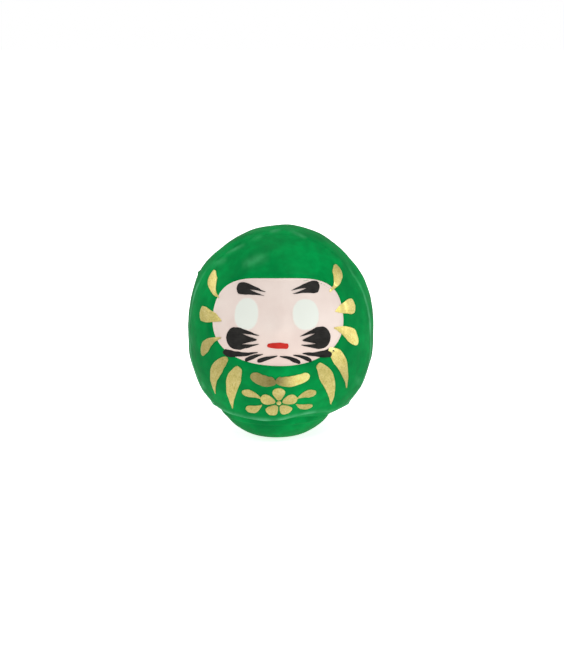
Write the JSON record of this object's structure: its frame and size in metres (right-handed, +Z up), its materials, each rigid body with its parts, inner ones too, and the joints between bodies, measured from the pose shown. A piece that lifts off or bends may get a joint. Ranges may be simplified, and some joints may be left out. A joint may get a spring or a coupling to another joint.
{
  "type": "daruma doll",
  "caption": "Round self-righting papier-mache doll: a hollow hooded body with a sunken painted face and gold brush marks, glued to a rounded clay weight with a small flat foot.",
  "frame": {"origin": "centre of the flat foot under the clay weight", "axes": "+Z up from the foot to the crown, -Y out of the doll's face, +X to the right of someone looking at the face"},
  "size_m": [0.0984, 0.0919, 0.1109],
  "materials": {
    "painted_paper": "satin",
    "paper_strip": "satin",
    "painted_clay": "satin",
    "face_paint": "matte",
    "eye_paint": "satin",
    "black_paint": "matte",
    "red_paint": "satin",
    "gold_paint": "satin"
  },
  "bodies": {
    "root": {"front_shell": "painted_paper", "back_shell": "painted_paper", "seam_strip": "paper_strip", "base_weight": "painted_clay", "base_strip": "paper_strip", "face_paint": "face_paint", "eye_left": "eye_paint", "eye_right": "eye_paint", "lips": "red_paint", "eyebrow_left": "black_paint", "eyebrow_right": "black_paint", "moustache_left": "black_paint", "moustache_right": "black_paint", "beard_left_1": "black_paint", "beard_left_2": "black_paint", "beard_left_3": "black_paint", "beard_right_1": "black_paint", "beard_right_2": "black_paint", "beard_right_3": "black_paint", "gold_left_1": "gold_paint", "gold_left_2": "gold_paint", "gold_left_3": "gold_paint", "gold_left_4": "gold_paint", "gold_left_5": "gold_paint", "gold_right_1": "gold_paint", "gold_right_2": "gold_paint", "gold_right_3": "gold_paint", "gold_right_4": "gold_paint", "gold_right_5": "gold_paint", "chest_left": "gold_paint", "chest_right": "gold_paint", "blossom": "gold_paint", "leaf_left_1": "gold_paint", "leaf_left_2": "gold_paint", "leaf_right_1": "gold_paint", "leaf_right_2": "gold_paint"}
  },
  "joints": []
}
